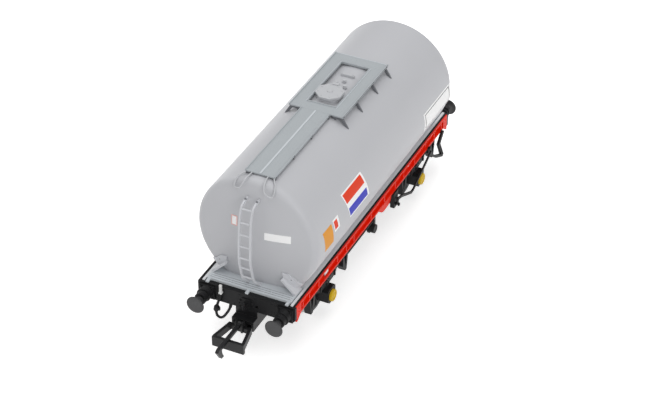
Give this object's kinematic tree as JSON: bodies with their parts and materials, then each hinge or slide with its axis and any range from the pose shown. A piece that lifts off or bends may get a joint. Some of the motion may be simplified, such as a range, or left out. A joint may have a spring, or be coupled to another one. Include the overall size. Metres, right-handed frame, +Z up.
{
  "type": "model railway tank wagon",
  "caption": "Small-scale model of a railway tank wagon with walkway, end ladder, turning wheelsets and lifting hook couplings.",
  "frame": {"origin": "middle of the wagon, at the lowest point of the wheel flanges", "axes": "+Z up, +X along the wagon away from the ladder end, +Y across the wagon to its left side"},
  "size_m": [0.1356, 0.0348, 0.0507],
  "materials": {
    "tank_grey": "satin paint on moulded plastic",
    "deck_grey": "matt moulded plastic",
    "underframe_black": "matt moulded plastic",
    "coupling_black": "satin moulded plastic",
    "solebar_red": "satin paint on moulded plastic",
    "buffer_steel": "blackened turned metal",
    "cap_yellow": "satin paint",
    "handle_white": "painted",
    "axle_steel": "turned steel",
    "wheel_metal": "blackened turned metal"
  },
  "bodies": {
    "wagon": {"tank_barrel": "tank_grey", "manhole_collar": "tank_grey", "manhole_lid": "deck_grey", "tank_fittings": "deck_grey", "walkway_deck": "deck_grey", "walkway_frame": "deck_grey", "walkway_brackets": "deck_grey", "end_ladder": "deck_grey", "grab_rails": "deck_grey", "end_deck_near": "deck_grey", "end_deck_far": "deck_grey", "tank_stays": "deck_grey", "side_members": "underframe_black", "cross_bearers": "underframe_black", "centre_longitudinals": "underframe_black", "floor_strips": "deck_grey", "solebar_left": "solebar_red", "solebar_right": "solebar_red", "solebar_gussets": "solebar_red", "headstock_near": "underframe_black", "headstock_far": "underframe_black", "buffer_housings": "underframe_black", "buffer_heads": "buffer_steel", "draw_hooks": "underframe_black", "brake_hose_near": "underframe_black", "brake_hose_far": "underframe_black", "hose_cocks": "handle_white", "axleguards": "underframe_black", "axleboxes": "underframe_black", "axlebox_caps": "cap_yellow", "leaf_springs": "underframe_black", "spring_hangers": "underframe_black", "brake_blocks": "underframe_black", "brake_rods": "underframe_black", "brake_shaft": "underframe_black", "shaft_hangers": "underframe_black", "hand_brake_lever_left": "underframe_black", "hand_brake_lever_right": "underframe_black", "lever_guides": "underframe_black", "brake_cylinder": "underframe_black", "air_reservoir": "underframe_black", "discharge_pipe": "underframe_black", "coupling_pocket_near": "underframe_black", "coupling_pocket_far": "underframe_black"},
    "wheelset_near": {"axle_near": "axle_steel", "wheels_near": "wheel_metal"},
    "wheelset_far": {"axle_far": "axle_steel", "wheels_far": "wheel_metal"},
    "coupling_near": {"coupling_head_near": "coupling_black"},
    "coupling_far": {"coupling_head_far": "coupling_black"},
    "hook_near": {"coupling_hook_near": "coupling_black"},
    "hook_far": {"coupling_hook_far": "coupling_black"}
  },
  "joints": [
    {"name": "wheelset_near_spin", "type": "hinge", "parent": "wagon", "child": "wheelset_near", "pos_m": [-0.03, 0, 0.00695], "axis": [0, 1, 0], "continuous": true},
    {"name": "wheelset_far_spin", "type": "hinge", "parent": "wagon", "child": "wheelset_far", "pos_m": [0.03, 0, 0.00695], "axis": [0, 1, 0], "continuous": true},
    {"name": "coupling_near_swing", "type": "hinge", "parent": "wagon", "child": "coupling_near", "pos_m": [-0.048, 0, 0.00945], "axis": [0, 0, 1], "range_deg": [-10, 10]},
    {"name": "coupling_far_swing", "type": "hinge", "parent": "wagon", "child": "coupling_far", "pos_m": [0.048, 0, 0.00945], "axis": [0, 0, 1], "range_deg": [-10, 10]},
    {"name": "hook_near_lift", "type": "hinge", "parent": "coupling_near", "child": "hook_near", "pos_m": [-0.0549, 0, 0.01025], "axis": [0, 1, 0], "range_deg": [0, 30]},
    {"name": "hook_far_lift", "type": "hinge", "parent": "coupling_far", "child": "hook_far", "pos_m": [0.0549, 0, 0.01025], "axis": [0, -1, 0], "range_deg": [0, 30]}
  ]
}
